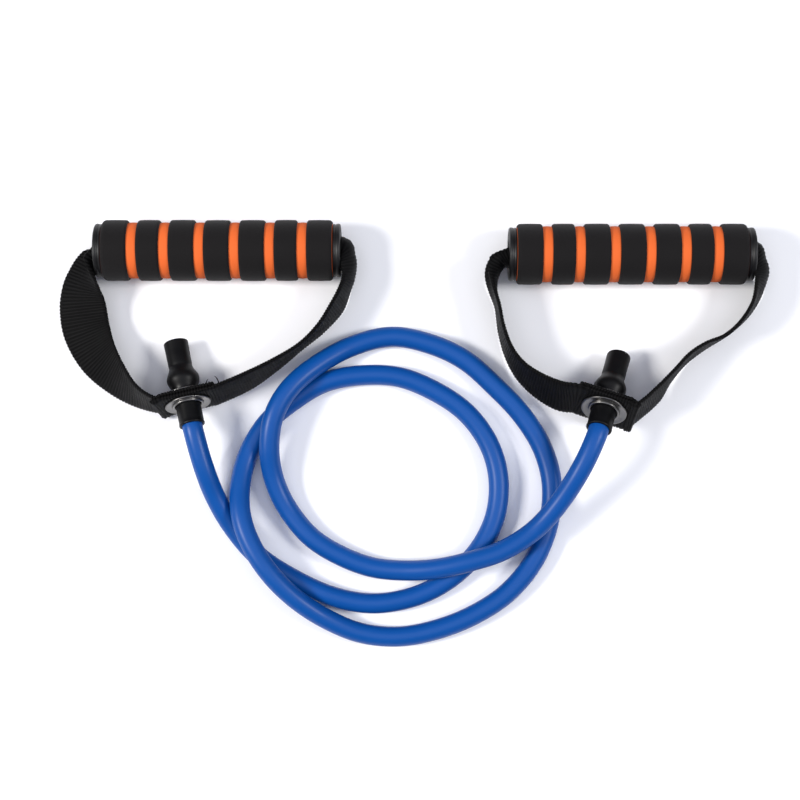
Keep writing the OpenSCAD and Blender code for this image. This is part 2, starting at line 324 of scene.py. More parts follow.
def grain_group():
    """Fine moulded or skinned grain: small noise for Height, broad noise for Patch."""
    group, given, out = socket_group("Surface Grain", [("Grain", 900.0), ("Patch", 40.0)],
                                     ["Height", "Patch"])
    vector = given.outputs["Vector"]
    group.links.new(noise(group, vector, given.outputs["Grain"], 4.0, 0.6), out.inputs["Height"])
    group.links.new(noise(group, vector, given.outputs["Patch"], 2.0), out.inputs["Patch"])
    return group


def cell_group():
    """Closed-cell foam skin: rounded cells with thin walls for Height, drifting tone for Patch."""
    group, given, out = socket_group("Foam Cells", [("Cells", 1600.0), ("Patch", 60.0)],
                                     ["Height", "Patch"])
    cells = group.nodes.new("ShaderNodeTexVoronoi")
    cells.feature = "SMOOTH_F1"
    cells.inputs["Smoothness"].default_value = 0.4
    group.links.new(given.outputs["Vector"], cells.inputs["Vector"])
    group.links.new(given.outputs["Cells"], cells.inputs["Scale"])
    fine = noise(group, given.outputs["Vector"], 5200.0, 2.0)
    height = math_node(group, "MULTIPLY_ADD", fine, 0.5, cells.outputs["Distance"])
    group.links.new(height, out.inputs["Height"])
    group.links.new(noise(group, given.outputs["Vector"], given.outputs["Patch"], 3.0),
                    out.inputs["Patch"])
    return group


def weave_group():
    """Woven webbing on its own map, u along and v across in millimetres. Height is the fine
    yarn, sin(2 pi v / gauge + pi u / Pitch) with fuzz, and Rib is the ridge itself,
    (1 - cos(2 pi u / Pitch)) / 2, which is 0 between the ridges, where the webbing gets painted
    shade."""
    gauge = 0.55
    group, given, out = socket_group("Webbing Weave", [("Pitch", 1.9)], ["Height", "Rib", "Patch"])
    split = group.nodes.new("ShaderNodeSeparateXYZ")
    group.links.new(given.outputs["Vector"], split.inputs[0])
    u, v = split.outputs[0], split.outputs[1]
    turn = math_node(group, "MULTIPLY", math_node(group, "DIVIDE", u, given.outputs["Pitch"]),
                     2 * math.pi)
    rib = math_node(group, "COSINE", turn)
    yarn = math_node(group, "SINE", math_node(group, "MULTIPLY_ADD", v, 2 * math.pi / gauge,
                                              math_node(group, "MULTIPLY", turn, 0.5)))
    fuzz = noise(group, given.outputs["Vector"], 2.2, 3.0, 0.7)
    height = math_node(group, "MULTIPLY_ADD", yarn, 0.5, fuzz)
    group.links.new(height, out.inputs["Height"])
    group.links.new(math_node(group, "MULTIPLY_ADD", rib, -0.5, 0.5), out.inputs["Rib"])
    group.links.new(noise(group, given.outputs["Vector"], 0.11, 2.0), out.inputs["Patch"])
    return group


GROUPS = {}


def shared(name):
    """A shared group, built the first time that a material asks for it."""
    if name not in GROUPS:
        GROUPS[name] = {"grain": grain_group, "cells": cell_group, "weave": weave_group}[name]()
    return GROUPS[name]


def finish_material(name, colour, tone, rough, group, values, bump, sockets=None, uv=False):
    """A Principled material whose colour and roughness drift with the group's Patch, and whose
    bump comes from its Height. tone is how far the colour drifts, rough the two roughnesses,
    bump the (strength, distance) and sockets the constants set on the shader itself."""
    material = bpy.data.materials.new(name)
    material.use_nodes = True
    tree = material.node_tree
    shader = tree.nodes["Principled BSDF"]
    for label, value in (sockets or {}).items():
        shader.inputs[label].default_value = value
    where = tree.nodes.new("ShaderNodeTexCoord")
    vector = where.outputs["UV" if uv else "Object"]
    if uv:
        scale = tree.nodes.new("ShaderNodeMapping")
        scale.inputs["Scale"].default_value = (1 / MM, 1 / MM, 1)
        tree.links.new(vector, scale.inputs["Vector"])
        vector = scale.outputs[0]
    effect = tree.nodes.new("ShaderNodeGroup")
    effect.node_tree = shared(group)
    tree.links.new(vector, effect.inputs["Vector"])
    for label, value in values.items():
        effect.inputs[label].default_value = value
    ramp = tree.nodes.new("ShaderNodeMapRange")
    ramp.inputs["From Min"].default_value, ramp.inputs["From Max"].default_value = 0.3, 0.7
    ramp.inputs["To Min"].default_value, ramp.inputs["To Max"].default_value = rough
    tree.links.new(effect.outputs["Patch"], ramp.inputs["Value"])
    tree.links.new(ramp.outputs[0], shader.inputs["Roughness"])
    mix = tree.nodes.new("ShaderNodeMix")
    mix.data_type = "RGBA"
    base = np.array(colour[:3])
    mix.inputs["A"].default_value = (*np.clip(base * (1 - tone), 0, 1), 1)
    mix.inputs["B"].default_value = (*np.clip(base * (1 + tone), 0, 1), 1)
    tree.links.new(effect.outputs["Patch"], mix.inputs["Factor"])
    tree.links.new(mix.outputs["Result"], shader.inputs["Base Color"])
    relief = tree.nodes.new("ShaderNodeBump")
    relief.inputs["Strength"].default_value = bump[0]
    relief.inputs["Distance"].default_value = bump[1]
    tree.links.new(effect.outputs["Height"], relief.inputs["Height"])
    tree.links.new(relief.outputs[0], shader.inputs["Normal"])
    return material


def webbing_material(colour, pitch):
    """Black nylon with a faint sheen, and painted shade that darkens it between the ribs."""
    material = finish_material(
        "Black Webbing", colour, tone=0.25, rough=(0.5, 0.62), group="weave",
        values={"Pitch": pitch / MM}, bump=(0.35, 0.0001), uv=True,
        sockets={"Specular IOR Level": 0.06, "Sheen Weight": 0.01, "Sheen Roughness": 0.5})
    tree = material.node_tree
    shader = tree.nodes["Principled BSDF"]
    effect = next(n for n in tree.nodes if n.type == "GROUP")
    base = shader.inputs["Base Color"].links[0].from_socket
    # Painted shade: between the ribs the colour falls to a fifth of the webbing's colour.
    shade = tree.nodes.new("ShaderNodeMix")
    shade.data_type = "RGBA"
    shade.inputs["A"].default_value = (*np.array(colour[:3]) * 0.2, 1)
    tree.links.new(base, shade.inputs["B"])
    tree.links.new(effect.outputs["Rib"], shade.inputs["Factor"])
    tree.links.new(shade.outputs["Result"], shader.inputs["Base Color"])
    return material


# ---- Settings ----

def size(label, text, default, low, high):
    """A length in metres that a user can change."""
    return bpy.props.FloatProperty(name=label, description=text, default=default, min=low,
                                   max=high, precision=5, unit="LENGTH", subtype="DISTANCE")


def tint(label, text, default):
    """A colour that a user can change."""
    return bpy.props.FloatVectorProperty(name=label, description=text, default=default, size=3,
                                         min=0, max=1, subtype="COLOR")


class BandTubeSettings(bpy.types.PropertyGroup):
    """Sizes and colours of the latex tube and the sleeves over its ends."""

    diameter: size("Tube diameter", "Outer diameter of the latex tube", 0.011, 0.006, 0.014)
    bore: size("Tube bore", "Bore that shows at the tube's cut ends", 0.006, 0.003, 0.008)
    sleeve: size("Sleeve diameter", "Outer diameter of the rubber sleeves", 0.0135, 0.012, 0.014)
    swell: size("Ball swelling", "How far the plug's ball swells the tube", 0.0021, 0, 0.003)
    ring_step: size("Ring spacing", "Distance between rings along the tube", 0.0024, 0.001, 0.01)
    colour: tint("Latex colour", "Colour of the latex tube", (0.0018, 0.067, 0.295))
    sleeve_colour: tint("Sleeve colour", "Colour of the rubber sleeves", (0.003, 0.003, 0.0034))


class BandGripSettings(bpy.types.PropertyGroup):
    """Sizes and colours of the foam grips and their end caps."""

    foam: size("Foam diameter", "Diameter over the black foam rings", 0.0326, 0.028, 0.036)
    sleeve: size("Sleeve diameter", "Diameter of the orange foam", 0.0294, 0.026, 0.032)
    groove: size("Groove width", "Width of each orange groove", 0.005, 0.003, 0.008)
    cap: size("Cap diameter", "Diameter of the end cap's flange", 0.0286, 0.024, 0.03)
    cap_bore: size("Cap bore", "Opening that the strap passes through", 0.0155, 0.012, 0.018)
    cap_depth: size("Cap thickness", "Thickness of the end cap's flange", 0.0042, 0.002, 0.006)
    rings: bpy.props.IntProperty(name="Foam rings", description="Black foam rings on a grip",
                                 default=7, min=3, max=9)
    narrow: size("Narrow rings", "How much narrower the second ring from each end is", 0.0015,
                 0, 0.003)
    black: tint("Foam black", "Colour of the foam rings", (0.0068, 0.006, 0.0062))
    orange: tint("Foam orange", "Colour of the foam in the grooves", (0.72, 0.132, 0.029))
    cap_colour: tint("Cap colour", "Colour of the end caps", (0.0045, 0.0045, 0.0047))


class BandStrapSettings(bpy.types.PropertyGroup):
    """Sizes and colour of the webbing straps."""

    width: size("Webbing width", "Width of the webbing laid flat", 0.028, 0.02, 0.03)
    thickness: size("Webbing thickness", "Thickness over the ribs", 0.0022, 0.001, 0.003)
    pitch: size("Rib pitch", "Distance between the cross ribs", 0.0016, 0.001, 0.003)
    relief: size("Rib height", "Height of a rib above its valley", 0.00038, 0, 0.0005)
    scallop: size("Edge scallop", "How far the edges step in between ribs", 0.0004, 0, 0.001)
    colour: tint("Webbing colour", "Colour of the webbing", (0.0055, 0.0053, 0.0055))


class BandGrommetSettings(bpy.types.PropertyGroup):
    """Sizes and colour of the grommets."""

    bore: size("Grommet bore", "Hole that the tube's sleeve turns in", 0.0143, 0.013, 0.016)
    diameter: size("Grommet diameter", "Diameter of the flange and washer", 0.0248, 0.02, 0.028)
    plate: size("Plate thickness", "Thickness of the flange and washer", 0.0009, 0.0005, 0.0015)
    colour: tint("Steel colour", "Colour of the plated steel", (0.17, 0.166, 0.162))


class BandStageSettings(bpy.types.PropertyGroup):
    """Camera place and light strengths."""

    height: size("Camera height", "Height of the camera above the surface", 0.976, 0.3, 3)
    floor: tint("Floor colour", "Colour of the pale floor", (0.97, 0.97, 0.98))
    key: bpy.props.FloatProperty(name="Key light", description="Power of the key light",
                                 default=29.0, min=0, max=200, unit="POWER")
    fill: bpy.props.FloatProperty(name="Fill light", description="Power of the fill light",
                                  default=19.0, min=0, max=200, unit="POWER")
    top: bpy.props.FloatProperty(name="Top light", description="Power of the broad overhead light",
                                 default=19.0, min=0, max=400, unit="POWER")


def settings(kind):
    """The scene's settings of one kind, such as tube or grip."""
    return getattr(bpy.context.scene, f"band_{kind}")


# ---- Camera and tube ----

class BAND_OT_camera(bpy.types.Operator):
    """Camera straight above the handles, looking down, with the loops of tube below its axis"""

    bl_idname = "band.camera"
    bl_label = "Camera"

    def execute(self, context):
        height = settings("stage").height
        data = bpy.data.cameras.new("Camera")
        data.sensor_width = 36
        data.lens = 80.3
        data.shift_x, data.shift_y = -0.0175, 0.16
        data.clip_end = 10
        camera = bpy.data.objects.new("Camera", data)
        camera.location = (0, -0.107, height)
        context.scene.collection.objects.link(camera)
        context.scene.camera = camera
        return {"FINISHED"}


def swell_at(d, most):
    """The plug's ball swells the wall by most cos^2(pi x) while |x| < 1/2, where x is the
    distance from the ball's middle over the swelling's length."""
    x = (d - SWELL_AT) / SWELL_LENGTH
    return np.where(np.abs(x) < 0.5, most * np.cos(math.pi * x) ** 2, 0)


def tube_line(step):
    """Points along the whole tube, from the left tip to the right one, with each point's
    distance past its grommet (or -STRAIGHT on the free stretch)."""
    (left, left_axis), (right, right_axis) = swivel("left"), swivel("right")
    ghosts = [left, left - STRAIGHT * left_axis], [right - STRAIGHT * right_axis, right]
    rows = np.vstack([ghosts[0], np.array(ROUTE) * MM, ghosts[1]])
    samples = 6000
    free = catmull(rows, np.linspace(1, len(rows) - 2, samples))
    free = pick(free, evenly(free, step)[0])
    d = np.arange(TUBE_TIP, -STRAIGHT, -step / 2)
    line = np.vstack([left + d[:, None] * left_axis, free, right + d[::-1, None] * right_axis])
    past = np.concatenate([d, np.full(len(free), -STRAIGHT), d[::-1]])
    return line, past


class BAND_OT_tube(bpy.types.Operator):
    """Latex tube in its loose loops: p(s, t) = path(s) + r(s) (side cos t + up sin t), where r
    swells over each plug, rounds off at the cut ends and turns in to a blind bore"""

    bl_idname = "band.tube"
    bl_label = "Latex tube"

    def execute(self, context):
        sizes = settings("tube")
        r, bore = sizes.diameter / 2, sizes.bore / 2
        line, past = tube_line(sizes.ring_step)
        travel = unit(np.gradient(line, axis=0))
        radius = r + swell_at(past, sizes.swell)
        depth, chamfer, corner = 7 * MM, 0.4 * MM, 0.18 * MM
        # A cut end, from the blind bottom of its bore out to its rim: distance in and radius.
        end = [(depth, 0.02 * MM), (depth, bore), (chamfer, bore), (0, bore + chamfer),
               (0, r - 0.6 * MM), (corner, r - corner)]
        inset, lip = (np.array(c)[:, None] for c in zip(*end))
        centres = np.vstack([line[0] + inset * travel[0], line[1:-1],
                             (line[-1] - inset * travel[-1])[::-1]])
        radii = np.concatenate([lip[:, 0], radius[1:-1], lip[::-1, 0]])
        forward = np.vstack([np.repeat(travel[:1], len(end), 0), travel[1:-1],
                             np.repeat(travel[-1:], len(end), 0)])
        points = rings_along(centres, radii, forward, UP, around=40)
        tube = grid_object("latex_tube_skin", points)
        latex = finish_material(
            "Blue Latex", sizes.colour, tone=0.07, rough=(0.36, 0.46), group="grain",
            values={"Grain": 700.0, "Patch": 28.0}, bump=(0.05, 0.00008),
            sockets={"Specular IOR Level": 0.2, "Coat Weight": 0.08, "Coat Roughness": 0.3})
        place(tube, "band", "latex_blue", latex, "latex_tube")
        plug = finish_material(
            "Plug Plastic", (0.69, 0.67, 0.62), tone=0.03, rough=(0.4, 0.5), group="grain",
            values={"Grain": 1200.0, "Patch": 90.0}, bump=(0.1, 0.00005))
        for name in SIDES:
            dress(f"{name}_ball_plug", plug)
        return {"FINISHED"}


class BAND_OT_sleeves(bpy.types.Operator):
    """Rubber sleeves over the tube's ends: a revolved wall with a flared mouth, the ball's
    swelling, a crease where the swelling ends and a rounded open rim"""

    bl_idname = "band.sleeves"
    bl_label = "Tube sleeves"

    def execute(self, context):
        sizes = settings("tube")
        rubber = finish_material(
            "Sleeve Rubber", sizes.sleeve_colour, tone=0.2, rough=(0.34, 0.5), group="grain",
            values={"Grain": 1500.0, "Patch": 120.0}, bump=(0.06, 0.00006),
            sockets={"Specular IOR Level": 0.17})
        outer, inner = sizes.sleeve / 2, sizes.diameter / 2
        mouth, tip = -15 * MM, 33.5 * MM
        crease_at, crease_width, crease_depth = 18.8 * MM, 0.7 * MM, 0.12 * MM
        taper, taper_from, taper_length = 0.3 * MM, 12.6 * MM, 7 * MM
        rim_round, rim_flare, flare_rings = 0.6 * MM, 0.12 * MM, 6
        d = np.concatenate([np.linspace(mouth + 1.6 * MM, 3.9 * MM, 12),
                            np.linspace(4.7 * MM, 19.5 * MM, 33),
                            np.linspace(20.5 * MM, tip - 0.7 * MM, 12)])
        wall = outer - taper * smoothstep((d - taper_from) / taper_length)
        wall = wall + swell_at(d, sizes.swell) - crease_depth * np.exp(
            -((d - crease_at) / crease_width) ** 2)
        wall[-flare_rings:] += np.linspace(0, rim_flare, flare_rings)
        rim = bend(tip - rim_round, wall[-1] - rim_round, rim_round, rim_round, 90, 0)
        back = np.linspace(tip - 0.3 * MM, mouth + 0.5 * MM, 40)
        lining = inner + 0.03 * MM + swell_at(back, sizes.swell)
        lip = [(mouth, inner + 0.15 * MM), (mouth, outer - 0.1 * MM),
               (mouth + 0.25 * MM, outer + 0.14 * MM), (mouth + 0.8 * MM, outer + 0.2 * MM),
               (mouth + 1.3 * MM, outer + 0.08 * MM)]
        profile = lip + list(zip(d, wall)) + rim + list(zip(back, lining))
        for name, phase in zip(SIDES, (0.6, 2.2)):
            centre, axis = swivel(name)

            def squeeze(d, t, phase=phase):
                """The open end is pressed a little oval, more towards its tip."""
                return 0.022 * smoothstep((d - 18 * MM) / (14 * MM)) * np.cos(2 * t + phase)

            sleeve = revolve(f"{name}_sleeve_skin", centre, axis, profile, wobble=squeeze)
            place(sleeve, "band", "sleeve_rubber", rubber, f"{name}_tube_sleeve")
        return {"FINISHED"}


# ---- Grips ----

class BAND_OT_grips(bpy.types.Operator):
    """Foam grips: crowned black rings over an orange sleeve. The crown falls off as the square
    of the distance from a ring's middle, and the sleeve swells by 1 - (2 x / groove)^2 in a
    groove, x being the distance from the groove's middle"""

    bl_idname = "band.grips"
    bl_label = "Foam grips"

    def execute(self, context):
        sizes = settings("grip")
        cells = {"Cells": 1500.0, "Patch": 55.0}
        black = finish_material(
            "Black Foam", sizes.black, tone=0.28, rough=(0.72, 0.86), group="cells",
            values=cells, bump=(0.35, 0.00012),
            sockets={"Specular IOR Level": 0.12, "Sheen Weight": 0.04, "Sheen Roughness": 0.6})
        orange = finish_material(
            "Orange Foam", sizes.orange, tone=0.08, rough=(0.7, 0.82), group="cells",
            values=cells, bump=(0.25, 0.00012), sockets={"Specular IOR Level": 0.12})
        pipe = finish_material(
            "Pipe Plastic", (0.05, 0.05, 0.05), tone=0.1, rough=(0.4, 0.5), group="grain",
            values={"Grain": 1200.0, "Patch": 70.0}, bump=(0.1, 0.00005))
        gap = 0.12 * MM  # between the end rings and the caps
        corner, end_corner, corner_drop = 1.5 * MM, 2.2 * MM, 1.55 * MM
        crowning, softness, puff_height = 0.14 * MM, 0.0012, 0.22 * MM
        turned = 1.3 * MM  # rounding at the orange foam's ends
        core = 11.05 * MM  # radius of the foam's bore
        tuck, bite = 0.1 * MM, 0.3 * MM  # a ring's foot, set in and sunk into the orange foam
        outer, seat, groove = sizes.foam / 2, sizes.sleeve / 2, sizes.groove
        rng = np.random.default_rng(7)
        for name in SIDES:
            centre, half = grip_line(name)
            full = (2 * (half - gap) - (sizes.rings - 1) * groove + 2 * sizes.narrow) / sizes.rings
            widths = np.full(sizes.rings, full)
            widths[[1, -2]] -= sizes.narrow
            starts = -half + gap + np.r_[0, np.cumsum(widths[:-1] + groove)]
            for k, (x0, ring) in enumerate(zip(starts, widths)):
                x1 = x0 + ring
                ends = [end_corner if k == 0 else corner,
                        end_corner if k == sizes.rings - 1 else corner]
                low = seat - bite
                x = np.linspace(x0 + ends[0], x1 - ends[1], 14)
                crown = outer - crowning * (2 * (x - (x0 + x1) / 2) / ring) ** 2
                profile = [(x0 + tuck, low)]
                profile += bend(x0 + ends[0], crown[0] - corner_drop, ends[0], corner_drop,
                                180, 95, 9)
                profile += list(zip(x, crown))
                profile += bend(x1 - ends[1], crown[-1] - corner_drop, ends[1], corner_drop,
                                85, 0, 9)
                profile += [(x1 - tuck, low)]
                lobes = rng.uniform(0, 2 * math.pi, 3)

                def soft(d, t, lobes=lobes):
                    """Two, three and five low lobes round the ring, never above its radius."""
                    wave = (np.cos(2 * t + lobes[0]) + np.cos(3 * t + lobes[1])
                            + np.cos(5 * t + lobes[2]) - 3)
                    return softness * wave

                piece = revolve(f"{name}_foam_{k + 1}", centre, ALONG_GRIP, profile, wobble=soft)
                place(piece, f"{name}_grip", "foam_black", black, f"{name}_foam_ring_{k + 1}")
            x = np.linspace(-half + turned, half - turned, 240)
            from_middle = x[:, None] - (starts + widths)[:-1] - groove / 2
            puff = np.maximum(1 - (2 * from_middle / groove) ** 2, 0).max(1)
            profile = [(-half, core), (-half, seat - turned)]
            profile += bend(-half + turned, seat - turned, turned, turned, 170, 100, 5)
            profile += list(zip(x, seat + puff_height * puff))
            profile += bend(half - turned, seat - turned, turned, turned, 80, 10, 5)
            profile += [(half, seat - turned), (half, core)]
            piece = revolve(f"{name}_foam_sleeve_skin", centre, ALONG_GRIP, profile)
            place(piece, f"{name}_grip", "foam_orange", orange, f"{name}_foam_sleeve")
            dress(f"{name}_core", pipe)
        return {"FINISHED"}


class BAND_OT_caps(bpy.types.Operator):
    """End caps: a flange with a groove round its rim, a shallow dished face and a trumpet bore"""

    bl_idname = "band.caps"
    bl_label = "End caps"

    def execute(self, context):
        sizes = settings("grip")
        plastic = finish_material(
            "Cap Plastic", sizes.cap_colour, tone=0.2, rough=(0.38, 0.5), group="grain",
            values={"Grain": 1400.0, "Patch": 110.0}, bump=(0.12, 0.00006),
            sockets={"Specular IOR Level": 0.35})
        r, bore, deep = sizes.cap / 2, sizes.cap_bore / 2, sizes.cap_depth
        spigot, pipe = 15 * MM, 8.98 * MM  # the spigot's length and radius
        edge, trumpet = 1.1 * MM, 1.3 * MM  # roundings of the face's edge and of the bore's mouth
        # Spigot, back of the flange, groove round its rim, rounded edge, dished face, bore.
        profile = [(-spigot, bore), (-spigot, pipe - 0.4 * MM), (-spigot + 0.4 * MM, pipe),
                   (0, pipe), (0.05 * MM, r - edge)]
        profile += bend(0.55 * MM, r - 0.7 * MM, 0.5 * MM, 0.5 * MM, 180, 90, 4)
        profile += [(1.35 * MM, r - 0.2 * MM), (1.6 * MM, r - 0.75 * MM), (1.85 * MM, r - 0.15 * MM)]
        profile += bend(deep - edge, r - edge, edge, edge, 100, 0, 8)
        profile += [(deep - 0.1 * MM, r - 2.2 * MM), (deep - 0.55 * MM, r - 2.7 * MM),
                    (deep - 0.6 * MM, bore + 2.6 * MM), (deep - 0.1 * MM, bore + 1.9 * MM)]
        profile += bend(deep - trumpet, bore + trumpet, trumpet, trumpet, 0, -90, 8)
        for name in SIDES:
            centre, half = grip_line(name)
            outward = -1 if name == "left" else 1
            for end, way in (("outer", outward), ("inner", -outward)):
                axis = way * ALONG_GRIP
                cap = revolve(f"{name}_{end}_cap_skin", centre + half * axis, axis, profile)
                place(cap, f"{name}_grip", "cap_plastic", plastic, f"{name}_{end}_cap")
        return {"FINISHED"}


# ---- Straps ----

def gather(width, full):
    """How far the webbing's section curls, in radians: a strip of the full width curled through
    an angle phi spans full sin(phi/2) / (phi/2). Inverted from a table of that formula."""
    tightest = 2.25
    half = np.linspace(0, tightest, 400)
    span = full * np.sinc(half / math.pi)
    return 2 * np.interp(-np.asarray(width), -span, half)


def strap_rows(name, sizes):
    """Control rows along one strap, in metres: position, the webbing's width direction and its
    curl. They run from one layer of the patch at the grommet, round the loop and through the
    pipe, to the other layer. The layer on the tube's side ends in a hem: it comes last on the
    left strap and first on the right one."""
    centre, stub = swivel(name)
    grip, half = grip_line(name)
    right, top = patch_axes(stub)
    wide = -top
    t = sizes.thickness / 2 + 0.04 * MM  # from the patch's middle to that of either layer

    def patch(along, off, drop=0.0):
        """A flat row by the grommet, along the strap and off its plane."""
        return [*(centre + along * MM * right + off * stub + drop * MM * wide), *wide, 0.0]

    def layer(places, off):
        """One layer of the patch, which leans a little on the other past the grommet."""
        return [patch(a, off * (0.8 if abs(a) > 15.9 else 1)) for a in places]

    def hemmed(way):
        """The hemmed end, which sags a little and stands off the layer behind."""
        return [patch(way * a, -t - 0.3 * MM * lift, -0.4 * way * lift)
                for a, lift in ((13.2, 0.2), (15.4, 0.7), (17.6, 1.0))]

    def arm(stations, flip):
        """Rows from an arm's stations: the width direction is side cos roll + lift sin roll."""
        rows = np.array(stations, float)
        path = rows[:, :3] * MM
        travel = unit(np.gradient(path, axis=0))
        side = unit(np.cross(UP, travel))
        roll = np.radians(rows[:, 3])[:, None]
        broad = side * np.cos(roll) + np.cross(travel, side) * np.sin(roll)
        curl = gather(rows[:, 4] * MM, sizes.width)
        return np.column_stack([path, flip * broad, curl]).tolist()

    def pipe(x, angle):
        """A row inside the pipe, x millimetres from its middle, curled almost into a ring."""
        a, curl = math.radians(angle), 4.5
        return [*(grip + x * MM * ALONG_GRIP), 0, math.sin(a), -math.cos(a), curl]

    reach = half / MM
    inside = [pipe(-reach - 1, 0), pipe(-reach + 8, 0), pipe(-30, 45), pipe(0, 90),
              pipe(30, 135), pipe(reach - 8, 180), pipe(reach + 1, 180)]
    if name == "left":
        start = layer((17, 11, 0, -11, -16), t)
        end = layer((16, 11, 0, -11), -t) + hemmed(-1)
    else:
        start = hemmed(1)[::-1] + layer((11, 0, -11, -16), -t)
        end = layer((16, 11, 0, -11, -17), t)
    turned_over = np.array([[1, 1, 1, -1, -1, -1, 1]])  # the strap comes back turned over
    end = np.array(end) * turned_over
    return np.array(start + arm(ARM_IN[name], 1) + inside + arm(ARM_OUT[name], -1) + end.tolist())


def webbing(name, rows, sizes, hem):
    """One ribbon of webbing carried along the rows. A point at x across and z out of the middle
    surface sits at P + sin(cx)/c w + (1 - cos(cx))/c n + z (n cos(cx) - w sin(cx)), where c is
    the curl's curvature, w the width direction and n = travel x w. Ribs and scalloped edges
    follow |sin| of the distance along. The end that hem names (0 first, -1 last) is thicker
    over the hem's length and rounded at its edge. The path runs along the section's centroid
    while it is open, and along the middle of its circle once it is curled."""
    samples, ring_step, columns = 9000, 0.3 * MM, 16
    hem_length, hem_extra, hem_round = 5 * MM, 0.6, 1.1 * MM
    selvedge, selvedge_thinner = 0.7 * MM, 0.22
    open_below, closing = 3.0, 1.4  # radians of curl
    dense = catmull(rows, np.linspace(0, len(rows) - 1, samples))
    index, s = evenly(dense[:, :3], ring_step)
    dense = pick(dense, index)
    path = dense[:, :3]
    travel = unit(np.gradient(path, axis=0))
    w = dense[:, 3:6]
    w = unit(w - (w * travel).sum(1, keepdims=True) * travel)[:, None]
    n = np.cross(travel, w[:, 0])[:, None]
    c = np.maximum(dense[:, 6] / sizes.width, 1e-3)[:, None, None]
    phi = c * sizes.width
    rib = (np.abs(np.sin(math.pi * s / sizes.pitch)) ** 0.7)[:, None, None]
    a = sizes.width / 2
    face = np.linspace(1, -1, columns) * (a - selvedge)
    x = np.concatenate([[a], face, [-a], face[::-1]])
    z = np.concatenate([[0], np.ones(columns), [0], -np.ones(columns)])
    edge = 1 - selvedge_thinner * (np.abs(x) / a) ** 8
    x, z, edge = (v[None, :, None] for v in (x, z, edge))
    x = x * (1 - sizes.scallop / a * (1 - rib) * (np.abs(x) > 0.9 * a))
    z = z * edge * (sizes.thickness / 2 - sizes.relief * (1 - rib))
    to_end = np.abs(s - s[hem])[:, None, None]
    thicker = 1 + hem_extra * smoothstep((hem_length - to_end) / MM)
    rounded = np.sqrt(np.clip(to_end / hem_round, 0.05, 1))
    z = z * thicker * rounded
    bent = c * x
    rise = np.sin(bent / 2) * x * np.sinc(bent / 2 / math.pi)
    middle = (x * np.sinc(bent / math.pi) * w) + rise * n
    centroid = (1 - np.sinc(phi / 2 / math.pi)) / c
    curled = smoothstep((phi - open_below) / closing)
    drop = (1 - curled) * centroid + curled / c
    points = path[:, None] - drop * n + middle + z * (n * np.cos(bent) - w * np.sin(bent))
    uv = np.stack(np.broadcast_arrays(s[:, None], x[:, :, 0]), -1)
    return grid_object(name, points, uv=uv), float(s[-1])


def punch(obj, centre, axis, radius):
    """Cuts a round hole through a piece, with an exact Boolean that is applied at once."""
    reach, point = 9 * MM, 1e-6
    profile = [(-reach, point), (-reach, radius), (reach, radius), (reach, point)]
    cutter = revolve("punch", centre, axis, profile, around=80, loop=False)
    cut = obj.modifiers.new("Grommet hole", "BOOLEAN")
    cut.operation, cut.solver, cut.object = "DIFFERENCE", "EXACT", cutter
    done = bpy.data.meshes.new_from_object(obj.evaluated_get(bpy.context.evaluated_depsgraph_get()))
    obj.modifiers.clear()
    obj.data = done
    bpy.data.objects.remove(cutter)
    done.shade_smooth()


def thread(name, rows, radius):
    """A loose end of yarn: a thin tube along a Catmull-Rom curve through the rows, whose radius
    tapers by 1 - 0.7 u^3 as u runs from 0 to 1."""
    u = np.linspace(0, 1, 40)
    line = catmull(np.array(rows) * MM, (len(rows) - 1) * u)
    travel = unit(np.gradient(line, axis=0))
    upright = np.array([0.3, 0.2, 0.9])
    points = rings_along(line, radius * (1 - 0.7 * u ** 3), travel, upright, around=8)
    return grid_object(name, points)


class BAND_OT_straps(bpy.types.Operator):
    """Webbing straps: one ribbed ribbon each, curled into the pipe and overlapped at the
    grommet, with a hem and a few loose yarns"""

    bl_idname = "band.straps"
    bl_label = "Webbing straps"

    def execute(self, context):
        sizes = settings("strap")
        nylon = webbing_material(sizes.colour, sizes.pitch)
        for name in SIDES:
            rows = strap_rows(name, sizes)
            strap, length = webbing(f"{name}_webbing", rows, sizes, -1 if name == "left" else 0)
            centre, axis = swivel(name)
            punch(strap, centre, axis, HOLE_RADIUS)
            place(strap, f"{name}_strap_loop", "webbing_black", nylon, f"{name}_strap")
        centre, stub = swivel("left")
        right, top = patch_axes(stub)
        for k, (along, lean, reach) in enumerate(LOOSE_YARNS):
            root = centre / MM + along * right + (YARN_EDGE + 0.03 * along) * top
            bow = [root, root + (0.3 * reach) * stub + 0.4 * top + 0.2 * lean * right,
                   root + (0.7 * reach) * stub + 0.2 * top + 0.5 * lean * right,
                   root + reach * stub - 0.2 * top + lean * right]
            yarn = thread(f"left_loose_yarn_{k + 1}", bow, YARN_RADIUS)
            place(yarn, "left_strap_loop", "webbing_black", nylon)
        return {"FINISHED"}


